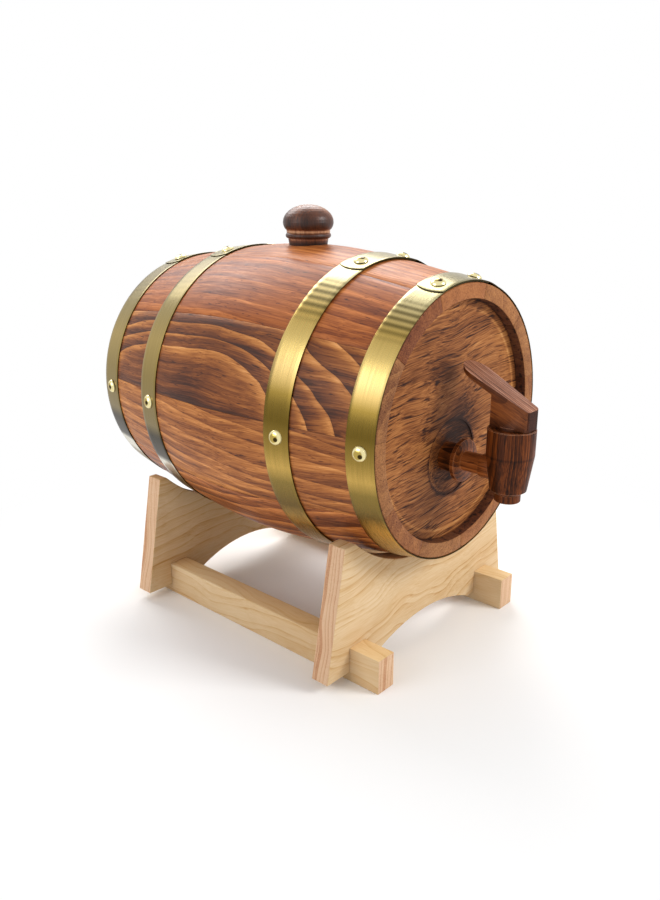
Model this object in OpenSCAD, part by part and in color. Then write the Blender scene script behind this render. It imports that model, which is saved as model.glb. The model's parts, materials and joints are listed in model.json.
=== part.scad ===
// Small stave cask lying on a two-board stand, with a turned wooden tap in its front head and a knob
// bung on top. Millimetres, +Z up, the tap faces -Y. The origin is on the surface the stand rests on,
// at the middle of the overall length and width.

/* [Cask] */
// Length over the stave ends
cask_len = 220.8; // [170:1:300]
// Diameter of the wood at the middle
bilge_d = 177.4; // [165:1:230]
// Diameter of the wood at the ends
end_d = 149.4; // [120:1:156]
// How much of the bend lies near the middle: low is an even curve, high has straight ends
bend = 2; // [0.5:0.1:4]
// Number of staves round the cask
stave_n = 11; // [8:1:16]
// Thickness of a stave
stave_t = 8.1; // [6.5:0.1:10]
// Angle of the first seam from the top, positive to the right
seam_at = -20; // [-25:1:-14]
// Height of the cask's axis above the floor
axis_z = 135.3; // [128:0.5:170]

/* [Heads] */
// Thickness of a head
head_t = 12; // [9:0.5:16]
// Depth of a head's face behind the stave ends
head_recess = 6; // [4:0.5:10]
// Width of the groove that holds a head
croze_w = 5; // [3:0.5:7]
// Depth of the groove that holds a head
croze_d = 3; // [1.5:0.25:4]
// Length of the straight turned wall inside each end
howel_len = 24; // [21:1:36]
// Radius of the dish turned round the tap hole
dish_r = 21.5; // [14:0.5:30]
// Depth of the dish
dish_depth = 4; // [1:0.5:6]

/* [Hoops] */
// Width of a hoop
hoop_w = 16; // [10:0.5:18]
// Thickness of the brass strip
hoop_t = 0.8; // [0.5:0.1:1.5]
// Distance of a quarter hoop's middle from the cask's end
quarter_inset = 57; // [54:0.5:62]
// Half the angle that a hoop's two ends overlap
lap_half = 19.5; // [16:0.5:26]
// Radius that the lap's end is rounded to
lap_round = 15; // [9:0.5:40]

/* [Nails] */
// Diameter of a nail's domed head
nail_head_d = 8; // [5:0.5:9]
// Height of a nail's domed head
nail_head_h = 2.2; // [1:0.1:4]
// Diameter of a nail's shank
nail_d = 1.8; // [1:0.1:2.4]
// Length of a nail in the wood
nail_depth = 4.5; // [2:0.5:5]
// Angle of each lap nail from the top
lap_nail_angle = 12.5; // [9:0.5:15]

/* [Bung] */
// Distance of the bung behind the cask's middle
bung_y = 2.5; // [-10:0.5:10]
// Radius of the bung hole at the outside
bung_hole_r = 11.4; // [8:0.1:12]
// Side taper of the bung and of its hole
bung_taper = 0.15; // [0.05:0.01:0.25]
// Length of the plug below the cask's skin
bung_depth = 17; // [12:1:30]
// Height of the knob above the cask's skin
knob_h = 22.3; // [18:0.1:32]
// Largest radius of the knob
knob_r = 14.9; // [14:0.1:18]

/* [Tap] */
// Distance of the tap's upright axis in front of the cask's end
tap_reach = 29.9; // [28:0.1:45]
// Height of the tap's shank below the cask's axis
tap_drop = 20.3; // [10:0.1:30]
// Radius of the tap body
tap_r = 12.6; // [11:0.1:15]
// Radius of the tap body where its taper ends
tap_foot_r = 9.7; // [9.5:0.1:11]
// Height of the tap body above the shank's axis
tap_above = 24; // [21:0.5:32]
// Height of the body's straight part above the shank's axis
tap_step = 10; // [6:0.5:14]
// Depth of the body below the shank's axis
tap_below = 9.6; // [8.5:0.1:14]
// Length of the nozzle below the body
nozzle_len = 6.4; // [4:0.2:14]
// Outer radius of the nozzle
nozzle_r = 6.9; // [6:0.1:8]
// Radius of the shank
shank_r = 5.5; // [4.5:0.1:7]
// Radius of the flange on the shank
flange_r = 11.8; // [9:0.1:16]
// Thickness of the flange
flange_t = 3; // [2:0.25:5]
// Distance of the flange's front in front of the cask's end plane
flange_out = 3.1; // [0:0.1:6]
// Radius of the spigot at the head's face
spigot_r = 8.2; // [7:0.1:9]
// Side taper of the spigot and of its hole
spigot_taper = 0.05; // [0:0.01:0.1]
// Length of the spigot inside the cask
spigot_inside = 8; // [2:1:20]
// Radius of the bored way through the tap
way_r = 2.6; // [1.5:0.1:3]

/* [Key] */
// Radius of the key's plug at the body's top
plug_r = 8; // [7.5:0.1:9]
// Side taper of the plug and of its seat
plug_taper = 0.045; // [0.01:0.005:0.06]
// Width of the key's handle
handle_w = 12; // [8:0.5:14]
// Length of the handle's block
block_len = 20.4; // [16:0.5:22]
// Height of the handle's front above the body
block_h = 10.8; // [7:0.5:16]
// Reach of the lever's tip from the key's axis
lever_reach = 29.5; // [20:0.5:29.7]
// Slope of the lever
lever_slope = 26; // [5:1:35]
// Thickness of the lever
lever_t = 3; // [2:0.25:4]

/* [Stand] */
// Thickness of a board
board_t = 11.4; // [8:0.2:14]
// Width of a board at its foot
board_foot_w = 173.2; // [164:1:200]
// Width of a board at its top
board_top_w = 145.6; // [140:1:152]
// Height of a board's top above the floor
board_top_z = 80; // [70:1:90]
// Height of a board's foot above the floor
board_foot_z = 5.4; // [2:0.2:9]
// Distance of the front board's front face from the cask's front end
front_inset = 20; // [17:0.5:24]
// Distance of the rear board's rear face from the cask's rear end
rear_inset = 34.9; // [19:0.5:36]
// How much larger the saddle's radius is than the cask's in it
saddle_slack = 13.4; // [2:0.2:20]
// Width of the arch under a board
arch_w = 96; // [60:1:102]
// Height of the front board's arch
front_arch_h = 11; // [6:0.5:18]
// Height of the rear board's arch
rear_arch_h = 13.5; // [6:0.5:18]
// Distance between the rails' middles
rail_gap = 123.6; // [118:0.5:128]
// Width of a rail
rail_w = 13.3; // [9:0.1:15]
// Height of a rail
rail_h = 20.2; // [16:0.2:26]
// Length of a rail beyond each board
rail_nose = 19.8; // [5:0.2:30]

/* [Clearances] */
// Gap between fitted pieces that stay put
fit_gap = 0.05; // [0.02:0.01:0.1]
// Gap round pieces that move: the key's plug and the bung
run_gap = 0.06; // [0.03:0.01:0.1]
// Gap between the cask and its saddles
seat_gap = 0.3; // [0.2:0.05:0.5]
// Gap under the key's handle
handle_gap = 0.4; // [0.2:0.1:1]

/* [Hidden] */
$fn = 128;
sliver = 0.01;
past = 1; // how far a cut runs past what it cuts

half_len = cask_len / 2;
bilge_r = bilge_d / 2;
end_r = end_d / 2;
stave_angle = 360 / stave_n;

// Lengthwise places, measured from the cask's middle
quarter_y = half_len - quarter_inset;
tap_y = -half_len - tap_reach;
front_y = -half_len + front_inset;
rear_y = half_len - rear_inset;
rail_from = front_y - rail_nose;
rail_to = rear_y + rail_nose;
cask_y = -(tap_y - tap_r + half_len) / 2;

// Radius of the wood, y from the middle
function cask_r(y) =
    bilge_r - (bilge_r - end_r) * (sqrt(1 + pow(bend * y / half_len, 2)) - 1) / (sqrt(1 + bend * bend) - 1);

// Places along the half cask where its outline turns: straight under each hoop, in short steps elsewhere
outline_edges = [half_len, half_len - hoop_w, quarter_y + hoop_w / 2, quarter_y - hoop_w / 2, 0];
outline_steps = [1, 5, 1, 8];
half_outline = [
    for (k = [0 : 3])
        for (j = [0 : outline_steps[k] - 1])
            outline_edges[k] + (outline_edges[k + 1] - outline_edges[k]) * j / outline_steps[k]
];
outline = concat(half_outline, [0], [for (k = [len(half_outline) - 1 : -1 : 0]) -half_outline[k]]);

// Inside of the staves
howel_y = half_len - howel_len;
end_bore_r = end_r - stave_t;
croze_y = half_len - head_recess - (head_t - croze_w) / 2;
inner_steps = 10;
howel_ease = 6;
inner_y = howel_y - howel_ease;
inside_half = [
    [end_bore_r, half_len],
    [end_bore_r, croze_y],
    [end_bore_r + croze_d, croze_y],
    [end_bore_r + croze_d, croze_y - croze_w],
    [end_bore_r, croze_y - croze_w],
    [end_bore_r, howel_y]
];
inside = concat(
    [for (k = [0 : len(inside_half) - 1]) [inside_half[k][0], -inside_half[k][1]]],
    [
        for (j = [0 : inner_steps])
            let (y = -inner_y + 2 * inner_y * j / inner_steps) [cask_r(y) - stave_t, y]
    ],
    [for (k = [len(inside_half) - 1 : -1 : 0]) inside_half[k]]
);

// Small details of the hoops and nails
dish_wall = 0.6;
lap_climb = 3.5;
nail_room = 0.3;
seam_margin = 3;

// Small details of the bung, heights above the cask's skin
plug_edge = 1;
bead_foot = 3.2;
bead_top = 6.4;
bead_out_r = 13.4;
neck_r = 12.8;
neck_len = 1.4;
waist_z = 12.4;
under_turn = 60;

// Small details of the tap and its key
edge_cut = 0.4;
foot_cut = 1.9;
nozzle_wall = 2.9;
collar_out = 0.9;
collar_len = 3;
tenon_r = 4.2;
tenon_wall = 1.4;
plug_below = 3.9;
plug_room = 1;
block_setback = 1;
lever_tip_t = 2;
lever_tip_r = 9;
corner_r = 2.2;

// Places of the tap: key_y is its upright axis, shank_z its shank, face_z the head's face along the shank
key_y = cask_y + tap_y;
shank_z = axis_z - tap_drop;
face_z = tap_reach + head_recess;
plug_foot = -way_r - plug_below;
nozzle_foot = -tap_below - nozzle_len;
tenon_from = plug_r + tenon_wall;
block_front = tap_r - block_setback;

hoop_middles = [-half_len + hoop_w / 2, -quarter_y, quarter_y, half_len - hoop_w / 2];
nail_angles = [-90, -lap_nail_angle, lap_nail_angle, 90];

// Puts the Z axis along the cask's own axis, with X at the right
module on_cask() {
    translate([0, cask_y, axis_z]) rotate([-90, 0, 0]) children();
}

// Turns a lathe piece on the cask's axis to an angle from the top
module at_angle(a) {
    rotate([0, 0, a - 90]) children();
}

// Band between two distances from the wood's outside, y from the cask's middle
module band(middle, from, to) {
    y1 = middle - hoop_w / 2;
    y2 = middle + hoop_w / 2;
    polygon([
        [cask_r(y1) + from, y1],
        [cask_r(y1) + to, y1],
        [cask_r(y2) + to, y2],
        [cask_r(y2) + from, y2]
    ]);
}

// Stands at a nail's place, with Z out of the wood, square to the hoop's outside
module at_nail(middle, a, lift) {
    y1 = middle - hoop_w / 2;
    y2 = middle + hoop_w / 2;
    slope = atan((cask_r(y1) - cask_r(y2)) / hoop_w);
    on_cask()
        at_angle(a)
            translate([(cask_r(y1) + cask_r(y2)) / 2, 0, middle])
                rotate([0, 90 - slope, 0])
                    translate([0, 0, lift]) children();
}

function nail_lift(a) = abs(a) < lap_half ? fit_gap + 2 * hoop_t : fit_gap + hoop_t;

module nail_hole(middle, a) {
    foot = -nail_depth - nail_room;
    at_nail(middle, a, foot) cylinder(r = nail_d / 2 + fit_gap, h = nail_lift(a) + past - foot);
}

module nail(middle, a) {
    dome_r = (pow(nail_head_d / 2, 2) + pow(nail_head_h, 2)) / (2 * nail_head_h);
    foot = -nail_depth - nail_lift(a);
    at_nail(middle, a, nail_lift(a) + fit_gap) {
        intersection() {
            translate([0, 0, nail_head_h - dome_r]) sphere(r = dome_r);
            cylinder(r = nail_head_d, h = nail_head_h + past);
        }
        translate([0, 0, foot]) cylinder(r = nail_d / 2, h = nail_head_h / 2 - foot);
    }
}

// Whether a hole at an angle cuts into a stave, or comes near its seam
function in_stave(i, a) =
    let (from_seam = a - seam_at - i * stave_angle)
    let (turn = from_seam - 360 * floor(from_seam / 360))
    turn < stave_angle + seam_margin || turn > 360 - seam_margin;

function bung_r(z) = bung_hole_r + bung_taper * z;

module bung_hole() {
    from = -stave_t - 2 * past;
    translate([0, cask_y + bung_y, axis_z + bilge_r + from])
        cylinder(r1 = bung_r(from) + run_gap, r2 = bung_r(past) + run_gap, h = past - from);
}

module stave(i) {
    color(i % 2 == 0 ? "peru" : "sienna")
        difference() {
            on_cask()
                at_angle(seam_at + i * stave_angle)
                    rotate_extrude(angle = stave_angle)
                        polygon(concat([for (y = outline) [cask_r(y), y]], inside));
            for (m = hoop_middles) for (a = nail_angles) if (in_stave(i, a)) nail_hole(m, a);
            if (in_stave(i, 0)) bung_hole();
        }
}

// Head lying on its inner face, before it is set in its groove
module head_disc() {
    side = (head_t - croze_w) / 2;
    rotate_extrude()
        polygon([
            [0, 0],
            [end_bore_r - fit_gap, 0],
            [end_bore_r - fit_gap, side + fit_gap],
            [end_bore_r + croze_d - fit_gap, side + fit_gap],
            [end_bore_r + croze_d - fit_gap, side + croze_w - fit_gap],
            [end_bore_r - fit_gap, side + croze_w - fit_gap],
            [end_bore_r - fit_gap, head_t],
            [0, head_t]
        ]);
}

// Dish with a small upright wall at its edge and a flat floor round the tap hole, cut down from Z = 0
module dish_cut() {
    bowl_depth = dish_depth - dish_wall;
    bowl_r = (pow(dish_r, 2) + pow(bowl_depth, 2)) / (2 * bowl_depth);
    translate([0, 0, -dish_wall]) cylinder(r = dish_r, h = dish_wall + past);
    intersection() {
        translate([0, 0, bowl_r - dish_depth]) sphere(r = bowl_r);
        translate([0, 0, -dish_depth - past]) cylinder(r = dish_r, h = dish_depth + past - dish_wall / 2);
    }
}

module head_front() {
    color("saddlebrown")
        difference() {
            on_cask() translate([0, 0, -half_len + head_recess + head_t]) mirror([0, 0, 1]) head_disc();
            on_tap() translate([0, 0, face_z]) mirror([0, 0, 1]) dish_cut();
            on_tap() spigot(fit_gap, face_z - past, face_z + head_t + past);
        }
}

module head_rear() {
    color("saddlebrown") on_cask() translate([0, 0, half_len - head_recess - head_t]) head_disc();
}

// Upper layer of a hoop's lap: a rounded end at the left, a slow climb over the lower end at the right
module lap(middle) {
    lap_x = (cask_r(middle) + 2 * hoop_t) * sin(lap_half);
    difference() {
        intersection() {
            on_cask() rotate_extrude() band(middle, fit_gap + hoop_t / 2, fit_gap + 2 * hoop_t);
            translate([0, cask_y + middle, axis_z])
                linear_extrude(height = bilge_r + 4 * hoop_t) {
                    translate([lap_round - lap_x, 0]) circle(r = lap_round);
                    translate([lap_round - lap_x, -hoop_w]) square([2 * lap_x - lap_round, 2 * hoop_w]);
                }
        }
        at_nail(middle, lap_half, fit_gap + hoop_t)
            rotate([-lap_climb, 0, 0])
                translate([-hoop_w, -hoop_w, 0]) cube([2 * hoop_w, 2 * hoop_w, hoop_w]);
    }
}

// Strip bent round the staves, with its two ends lapped on top
module hoop(k) {
    middle = hoop_middles[k];
    color("darkgoldenrod")
        difference() {
            union() {
                on_cask() rotate_extrude() band(middle, fit_gap, fit_gap + hoop_t);
                lap(middle);
            }
            for (a = nail_angles) nail_hole(middle, a);
        }
}

module hoop_nails(k) {
    color("gold") for (a = nail_angles) nail(hoop_middles[k], a);
}

// Turned knob on a tapered plug, Z = 0 at the skin of the cask
module bung() {
    bead_r = (bead_top - bead_foot) / 2;
    under_h = waist_z - bead_top - neck_len;
    under_out = (knob_r - neck_r) / (1 - cos(under_turn));
    plug_half = [
        [0, -bung_depth],
        [bung_r(-bung_depth) - plug_edge, -bung_depth],
        [bung_r(plug_edge - bung_depth), plug_edge - bung_depth],
        [bung_r(bead_foot), bead_foot],
        [bead_out_r - bead_r, bead_foot]
    ];
    bead_half = [
        for (t = [-90 : 18 : 90])
            [bead_out_r - bead_r + bead_r * cos(t), bead_foot + bead_r * (1 + sin(t))]
    ];
    neck_half = [
        [neck_r, bead_top],
        [neck_r, bead_top + neck_len]
    ];
    under_half = [
        for (t = [10 - under_turn : 10 : 0])
            [knob_r - under_out * (1 - cos(t)), waist_z + under_h * sin(t) / sin(under_turn)]
    ];
    dome_half = [for (t = [10 : 10 : 90]) [knob_r * cos(t), waist_z + (knob_h - waist_z) * sin(t)]];
    color("saddlebrown")
        translate([0, cask_y + bung_y, axis_z + bilge_r])
            rotate_extrude() polygon(concat(plug_half, bead_half, neck_half, under_half, dome_half));
}

// Puts Z along the tap's shank, into the cask, from the tap's upright axis
module on_tap() {
    translate([0, key_y, shank_z]) rotate([-90, 0, 0]) children();
}

// Outside of the turned tap body, Z = 0 at the shank's axis
module tap_outer(gap) {
    rotate_extrude()
        polygon([
            [0, nozzle_foot - gap],
            [nozzle_r - edge_cut + gap, nozzle_foot - gap],
            [nozzle_r + gap, nozzle_foot + edge_cut - gap],
            [nozzle_r + gap, -tap_below - foot_cut - gap],
            [tap_foot_r + gap, -tap_below - gap],
            [tap_r + gap, tap_step],
            [tap_r + gap, tap_above - edge_cut],
            [tap_r - edge_cut + gap, tap_above + gap],
            [0, tap_above + gap]
        ]);
}

// Tapered plug from its lower end to a height above the shank's axis
module plug(gap, from, to) {
    translate([0, 0, from])
        cylinder(
            r1 = plug_r - plug_taper * (tap_above - from) + gap,
            r2 = plug_r - plug_taper * (tap_above - to) + gap,
            h = to - from
        );
}

// Tapered spigot along the shank's axis
module spigot(gap, from, to) {
    translate([0, 0, from])
        cylinder(
            r1 = spigot_r + spigot_taper * (face_z - from) + gap,
            r2 = spigot_r + spigot_taper * (face_z - to) + gap,
            h = to - from
        );
}

module tap_body() {
    color("brown")
        difference() {
            translate([0, key_y, shank_z])
                difference() {
                    tap_outer(0);
                    plug(run_gap, plug_foot - plug_room, tap_above + past);
                    translate([0, 0, nozzle_foot - past])
                        cylinder(r = nozzle_r - nozzle_wall, h = plug_foot - nozzle_foot + past);
                }
            on_tap() cylinder(r = way_r, h = tap_r + past);
            on_tap() translate([0, 0, tenon_from - fit_gap]) cylinder(r = tenon_r + fit_gap, h = tap_r);
        }
}

// Turned shank: tenon in the body, collar, shank, flange and the spigot through the head
module tap_shank() {
    flange_z = tap_reach - flange_out;
    spigot_end = face_z + head_t + spigot_inside;
    color("chocolate")
        difference() {
            union() {
                difference() {
                    on_tap() {
                        cylinder(r = shank_r, h = flange_z + past);
                        cylinder(r = shank_r + collar_out, h = tap_r + collar_len);
                        translate([0, 0, flange_z]) flange();
                        spigot(0, flange_z + flange_t - sliver, spigot_end);
                    }
                    translate([0, key_y, shank_z]) tap_outer(fit_gap);
                }
                on_tap() translate([0, 0, tenon_from]) cylinder(r = tenon_r, h = tap_r - tenon_from + past);
            }
            on_tap() translate([0, 0, tenon_from - past]) cylinder(r = way_r, h = spigot_end);
        }
}

module flange() {
    rotate_extrude()
        polygon([
            [0, 0],
            [flange_r - 2 * edge_cut, 0],
            [flange_r, edge_cut],
            [flange_r, flange_t - edge_cut],
            [flange_r - edge_cut, flange_t],
            [0, flange_t]
        ]);
}

// Key: handle with a sloped top running back to a rounded lever, and the tapered plug with its bent way
module tap_key() {
    color("sienna")
        translate([0, key_y, shank_z]) {
            translate([0, 0, tap_above]) handle();
            difference() {
                plug(0, plug_foot, tap_above + handle_gap + past);
                translate([0, 0, plug_foot - past])
                    cylinder(r = nozzle_r - nozzle_wall, h = way_r - plug_foot + past);
                rotate([0, -90, 0]) cylinder(r = way_r, h = plug_r + past);
            }
        }
}

module handle() {
    rise = tan(lever_slope);
    top_back = block_h + (block_front + lever_reach) * rise;
    web_y = block_len - block_front;
    web_top = block_h + block_len * rise - lever_t / cos(lever_slope);
    intersection() {
        rotate([90, 0, 90])
            translate([0, 0, -handle_w])
                linear_extrude(height = 2 * handle_w)
                    polygon([
                        [-block_front, handle_gap],
                        [-block_front, block_h],
                        [lever_reach, top_back],
                        [lever_reach, top_back - lever_tip_t / cos(lever_slope)],
                        [web_y, web_top],
                        [web_y, handle_gap]
                    ]);
        linear_extrude(height = top_back + past) {
            translate([0, lever_reach - lever_tip_r]) circle(r = lever_tip_r);
            polygon([
                [-handle_w / 2, -block_front + corner_r],
                [handle_w / 2, -block_front + corner_r],
                [lever_tip_r, lever_reach - lever_tip_r],
                [-lever_tip_r, lever_reach - lever_tip_r]
            ]);
            translate([corner_r - handle_w / 2, -block_front])
                square([handle_w - 2 * corner_r, block_front]);
            for (side = [-1, 1])
                translate([side * (handle_w / 2 - corner_r), -block_front + corner_r]) circle(r = corner_r);
        }
    }
}

// Outline of a board seen from the front, with its saddle, arch and rail notches
module board_outline(inner_y, arch_h) {
    seat_r = cask_r(inner_y) + seat_gap;
    saddle_r = seat_r + saddle_slack;
    arch_r = (pow(arch_w / 2, 2) + pow(arch_h, 2)) / (2 * arch_h);
    difference() {
        polygon([
            [-board_foot_w / 2, board_foot_z],
            [board_foot_w / 2, board_foot_z],
            [board_top_w / 2, board_top_z],
            [-board_top_w / 2, board_top_z]
        ]);
        translate([0, axis_z - seat_r + saddle_r]) circle(r = saddle_r);
        translate([0, board_foot_z + arch_h - arch_r]) circle(r = arch_r);
        for (side = [-1, 1])
            translate([side * rail_gap / 2 - rail_w / 2 - fit_gap, 0])
                square([rail_w + 2 * fit_gap, rail_h + fit_gap]);
    }
}

module board(face_y, inner_y, arch_h) {
    color("burlywood")
        translate([0, cask_y + face_y + board_t, 0])
            rotate([90, 0, 0]) linear_extrude(height = board_t) board_outline(inner_y, arch_h);
}

module board_front() {
    board(front_y, front_y + board_t, front_arch_h);
}

module board_rear() {
    board(rear_y - board_t, rear_y - board_t, rear_arch_h);
}

module rail(side) {
    color("wheat")
        translate([side * rail_gap / 2 - rail_w / 2, cask_y + rail_from, 0])
            cube([rail_w, rail_to - rail_from, rail_h]);
}

board_front();
board_rear();
rail(-1);  // rail_left
rail(1);  // rail_right
for (i = [1 : stave_n]) stave(i - 1);
head_front();
head_rear();
for (k = [1 : 4]) hoop(k - 1);
for (k = [1 : 4]) hoop_nails(k - 1);
bung();
tap_body();
tap_shank();
tap_key();
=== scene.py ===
import json
import math
import bmesh
import bpy
from mathutils import Matrix, Vector

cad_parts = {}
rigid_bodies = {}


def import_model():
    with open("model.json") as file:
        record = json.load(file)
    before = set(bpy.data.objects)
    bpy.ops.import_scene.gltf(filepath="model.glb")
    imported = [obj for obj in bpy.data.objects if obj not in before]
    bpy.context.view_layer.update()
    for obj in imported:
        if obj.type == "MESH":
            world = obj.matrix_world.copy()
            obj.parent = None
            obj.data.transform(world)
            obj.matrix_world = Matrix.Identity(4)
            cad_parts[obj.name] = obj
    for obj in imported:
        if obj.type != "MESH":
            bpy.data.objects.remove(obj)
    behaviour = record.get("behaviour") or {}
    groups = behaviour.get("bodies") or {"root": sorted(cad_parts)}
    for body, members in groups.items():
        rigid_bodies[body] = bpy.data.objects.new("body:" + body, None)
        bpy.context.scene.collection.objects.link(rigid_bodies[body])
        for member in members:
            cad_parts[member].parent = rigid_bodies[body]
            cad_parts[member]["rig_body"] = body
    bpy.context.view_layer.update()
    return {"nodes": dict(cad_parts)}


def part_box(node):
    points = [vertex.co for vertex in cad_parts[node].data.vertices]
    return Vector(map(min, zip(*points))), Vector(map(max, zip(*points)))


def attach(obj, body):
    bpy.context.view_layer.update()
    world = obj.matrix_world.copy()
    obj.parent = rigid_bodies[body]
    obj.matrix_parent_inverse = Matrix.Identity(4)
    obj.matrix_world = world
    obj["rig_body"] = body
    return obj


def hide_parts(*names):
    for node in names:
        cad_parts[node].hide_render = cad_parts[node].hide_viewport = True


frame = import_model()
scene = bpy.context.scene
scene.view_settings.view_transform = "Standard"
mm = 0.001


# ---- Camera ----
# It stands left of the tap, a little above the bung, and looks down across the cask's front corner. Its lens
# and film are in mm.
camera_place = Vector((-365.2, -320.9, 260.7)) * mm
camera_aim = Vector((0.7072, 0.6343, -0.3125))
camera_lens = 33.05
camera_film = 36
camera_near = 0.01

camera = bpy.data.objects.new("camera", bpy.data.cameras.new("camera"))
camera.data.lens = camera_lens
camera.data.sensor_width = camera_film
camera.data.clip_start = camera_near
camera.location = camera_place
camera.rotation_euler = camera_aim.to_track_quat("-Z", "Y").to_euler()
scene.collection.objects.link(camera)
scene.camera = camera


# ---- Floor and light ----
# A white sweep: a matt floor that keeps the shadow near the object and fades to the white behind it, under a
# soft lamp at the front right, a weaker one low at the left, and two over the back that put a sheen on top.
floor_half = 6.0
floor_fade = (0.10, 0.31)
floor_tone = 0.94
sky_on_object = 0.55
lamp_aim = Vector((0, 0, 0.1))
# Each lamp's place and side in metres, and its watts.
lamps = {
    "key": ((0.60, -1.25, 0.95), 0.6, 15.0),
    "left": ((-1.35, 0.35, 0.75), 0.9, 7.0),
    "back": ((0.20, 1.15, 1.15), 0.7, 10.0),
    "back_right": ((0.90, 0.85, 1.25), 0.7, 12.0),
}


def linear(colour):
    """The scene's colour for an sRGB hex colour such as "#C98F63"."""
    parts = [int(colour[i:i + 2], 16) / 255 for i in (1, 3, 5)]
    return [*(c / 12.92 if c < 0.04045 else ((c + 0.055) / 1.055) ** 2.4 for c in parts), 1]


def add(tree, kind, feeds=None, **settings):
    """Adds a node with its settings. Each feed is an input's name or number, and a value, socket or node."""
    node = tree.nodes.new(kind)
    for name, value in settings.items():
        setattr(node, name, value)
    for key, feed in (feeds or {}).items():
        if isinstance(feed, bpy.types.Node):
            feed = feed.outputs[0]
        if isinstance(feed, bpy.types.NodeSocket):
            tree.links.new(feed, node.inputs[key])
        else:
            node.inputs[key].default_value = feed
    return node


def bare_material(name):
    """A new material and its empty tree."""
    made = bpy.data.materials.new(name)
    made.use_nodes = True
    made.node_tree.nodes.clear()
    return made, made.node_tree


def unlit(tree):
    """1 for what the lens sees, straight or in metal and glass, and 0 for light that falls on surfaces."""
    path = add(tree, "ShaderNodeLightPath")
    seen = add(tree, "ShaderNodeMath", {0: path.outputs["Is Camera Ray"], 1: path.outputs["Is Glossy Ray"]},
               operation="MAXIMUM")
    return add(tree, "ShaderNodeMath", {0: seen, 1: path.outputs["Is Transmission Ray"]}, operation="MAXIMUM")


world = bpy.data.worlds.new("white_studio")
world.use_nodes = True
world.node_tree.nodes.clear()
level = add(world.node_tree, "ShaderNodeMapRange", {0: unlit(world.node_tree), 3: sky_on_object, 4: 1.0})
sky = add(world.node_tree, "ShaderNodeBackground", {"Color": (1, 1, 1, 1), "Strength": level})
add(world.node_tree, "ShaderNodeOutputWorld", {"Surface": sky})
scene.world = world

for name, (place, side, watts) in lamps.items():
    lamp = bpy.data.objects.new(name, bpy.data.lights.new(name, "AREA"))
    lamp.data.size = side
    lamp.data.energy = watts
    lamp.location = place
    lamp.rotation_euler = (lamp_aim - Vector(place)).to_track_quat("-Z", "Y").to_euler()
    scene.collection.objects.link(lamp)

floor = bpy.data.objects.new("floor", bpy.data.meshes.new("floor"))
floor.data.from_pydata(
    [(x * floor_half, y * floor_half, 0) for x, y in ((-1, -1), (1, -1), (1, 1), (-1, 1))], [],
    [(0, 1, 2, 3)])
scene.collection.objects.link(floor)
sweep, tree = bare_material("matt_white_sweep")
spot = add(tree, "ShaderNodeTexCoord")
away = add(tree, "ShaderNodeVectorMath", {0: spot.outputs["Object"]}, operation="LENGTH")
fade = add(tree, "ShaderNodeMapRange", {0: away.outputs["Value"], 1: floor_fade[0], 2: floor_fade[1]},
           interpolation_type="SMOOTHSTEP")
both = add(tree, "ShaderNodeMath", {0: fade, 1: unlit(tree)}, operation="MULTIPLY")
matt = add(tree, "ShaderNodeBsdfDiffuse", {"Color": (floor_tone, floor_tone, floor_tone, 1)})
white = add(tree, "ShaderNodeEmission", {"Color": (1, 1, 1, 1)})
mixed = add(tree, "ShaderNodeMixShader", {0: both, 1: matt, 2: white})
add(tree, "ShaderNodeOutputMaterial", {"Surface": mixed})
floor.data.materials.append(sweep)


# ---- Staves ----
# Eleven bent softwood staves, planed outside, stained brown and given a thin satin lacquer. Their broad
# growth rings show as long flames where a stave is cut flat, and as fine lines where it is cut on edge.
stave_names = sorted((n for n in frame["nodes"] if n.startswith("stave_")),
                     key=lambda n: int(n.removeprefix("stave_")))
stave_count = len(stave_names)
stave_step = 2 * math.pi / stave_count
first_seam = math.radians(-20)
stave_low, stave_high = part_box("stave_5")
half_length = (stave_high.y - stave_low.y) / 2
cask_middle = (stave_high.y + stave_low.y) / 2
head_low, head_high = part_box("head_front")
axis_height = (head_high.z + head_low.z) / 2
cask_axis = Vector((0, cask_middle, axis_height))
bilge_radius = max(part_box(n)[1].x for n in stave_names)
end_radius = 74.7 * mm
cask_bend = 2.0
stave_thick = 8.1 * mm
wall_straight = 24 * mm
wall_blend = 6 * mm
stave_ease = 0.3 * mm
seam_width = 0.06 * mm

# For each stave, from the seam left of the top: how far the tree's heart lies across and below its face, the
# core without rings and the width of a year's growth (all mm), how far the grain runs across and into it, the
# place in mm and the steepness of its bow, how dark, how red and how strongly ringed the stain left it, and
# how dark its sawn end is. The first stave, on top, is given a paler tone that is partly painted light: the
# brighter sheen on the cask's top.
stave_grain = [
    (-74, 20, 0, 6.2, 0.035, 0.04, 20, 0.06, -0.18, 0.42, 0.26, -0.09),
    (30, 46, 0, 7.5, -0.10, 0.10, -30, 0.20, 0.00, 0.20, 0.60, -0.08),
    (-42, 30, 0, 6.0, 0.05, 0.05, 10, 0.12, -0.02, 0.12, 0.60, -0.04),
    (6, 40, 4, 8.0, 0.02, -0.12, -20, 0.30, 0.04, 0.25, 0.85, -0.06),
    (40, 24, 0, 6.5, 0.08, 0.06, 40, 0.12, -0.06, 0.12, 0.55, 0.00),
    (-10, 46, 4, 8.0, -0.05, 0.12, 0, 0.20, 0.03, 0.30, 0.80, -0.05),
    (-36, 34, 0, 5.5, 0.04, -0.08, 20, 0.12, -0.04, 0.10, 0.60, -0.03),
    (44, 20, 0, 10.0, 0.15, 0.04, -50, 0.12, 0.03, 0.28, 0.75, 0.06),
    (62, 16, 0, 9.0, -0.13, 0.02, 0, 0.10, -0.06, 0.08, 0.50, 0.00),
    (25.6, 0, 21, 8.8, 0.0, 0.0, 25, 0.60, 0.08, 0.04, 1.00, 0.10),
    (78, 14, 0, 8.4, -0.06, 0.02, 10, 0.04, -0.04, 0.46, 0.34, 0.15),
]
bow_round = 45
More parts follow.
